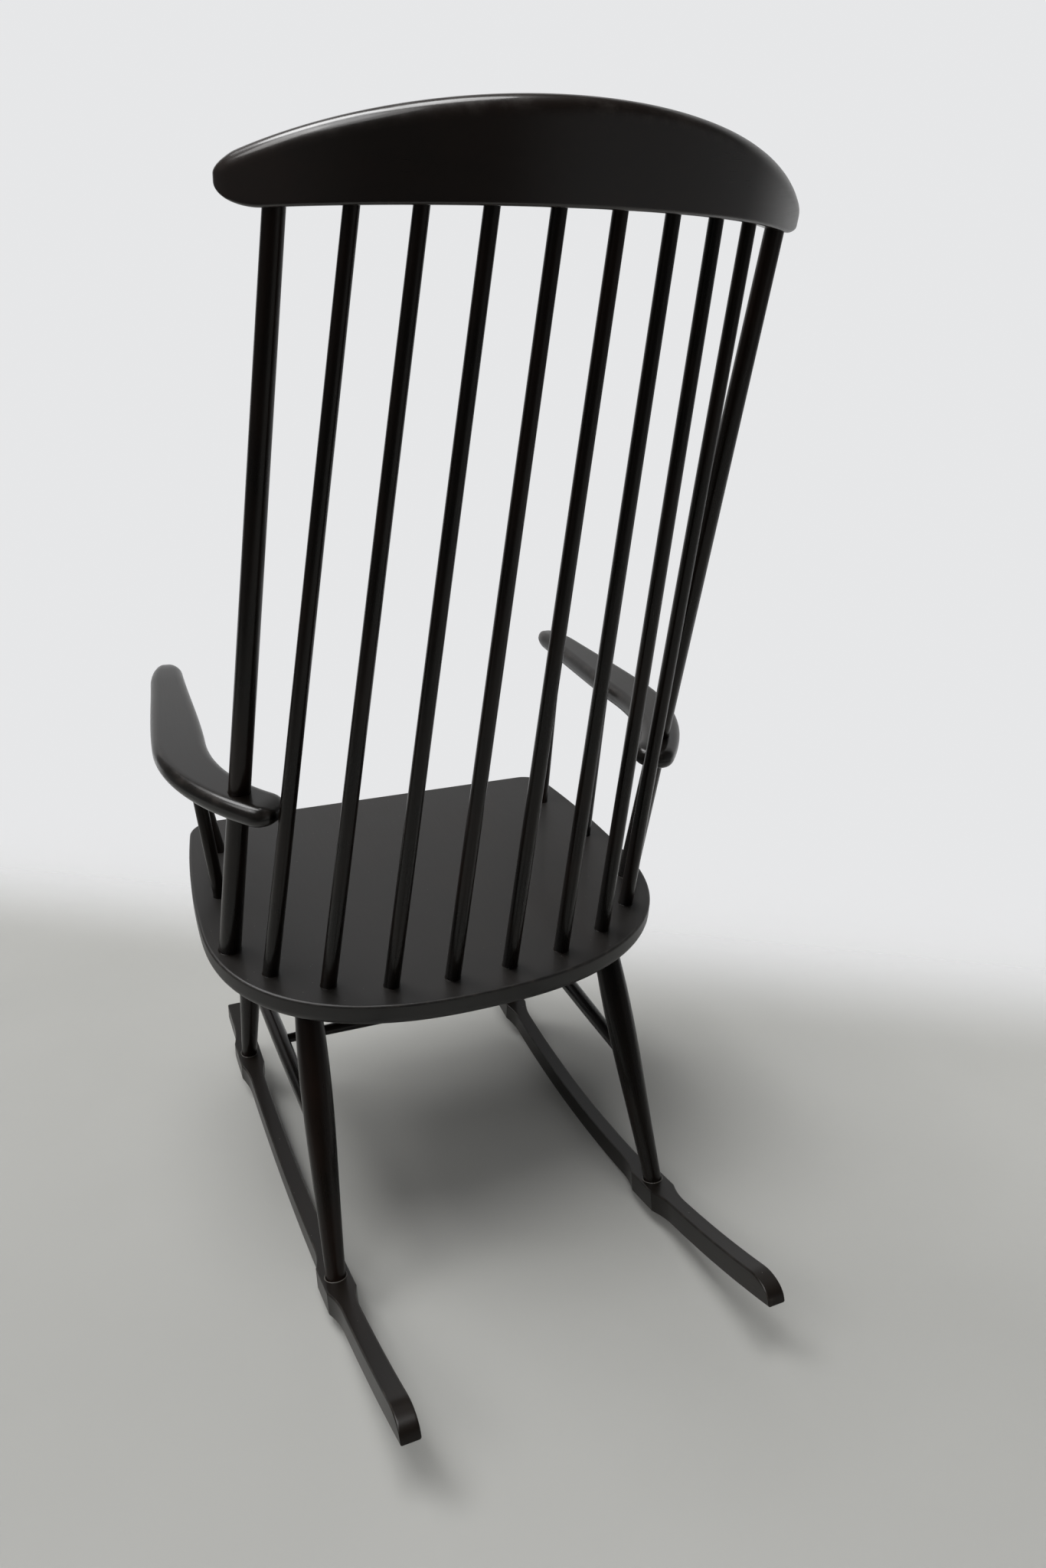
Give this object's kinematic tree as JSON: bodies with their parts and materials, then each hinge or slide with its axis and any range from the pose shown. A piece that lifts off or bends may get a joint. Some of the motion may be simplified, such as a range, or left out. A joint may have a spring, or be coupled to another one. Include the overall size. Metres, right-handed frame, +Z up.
{
  "type": "rocking chair",
  "caption": "Wooden rocking chair in black lacquer: tilted board seat, tall spindle back under a bent crest rail, boomerang arms, turned legs and curved rockers.",
  "frame": {"origin": "on the floor, under the middle of the chair's bounding box", "axes": "+Z up, the sitter faces -Y, +X on the sitter's left"},
  "size_m": [0.5824, 0.8136, 1.0632],
  "materials": {
    "black_lacquer": "satin black lacquer over turned and sawn wood"
  },
  "bodies": {
    "root": {"arm_left": "black_lacquer", "arm_post_front_left": "black_lacquer", "arm_post_front_right": "black_lacquer", "arm_post_rear_left": "black_lacquer", "arm_post_rear_right": "black_lacquer", "arm_right": "black_lacquer", "back_post_left": "black_lacquer", "back_post_right": "black_lacquer", "crest_rail": "black_lacquer", "cross_stretcher": "black_lacquer", "leg_front_left": "black_lacquer", "leg_front_right": "black_lacquer", "leg_rear_left": "black_lacquer", "leg_rear_right": "black_lacquer", "rocker_left": "black_lacquer", "rocker_right": "black_lacquer", "seat": "black_lacquer", "side_stretcher_left": "black_lacquer", "side_stretcher_right": "black_lacquer", "spindle_left_1": "black_lacquer", "spindle_left_2": "black_lacquer", "spindle_left_3": "black_lacquer", "spindle_left_4": "black_lacquer", "spindle_right_1": "black_lacquer", "spindle_right_2": "black_lacquer", "spindle_right_3": "black_lacquer", "spindle_right_4": "black_lacquer"}
  },
  "joints": []
}
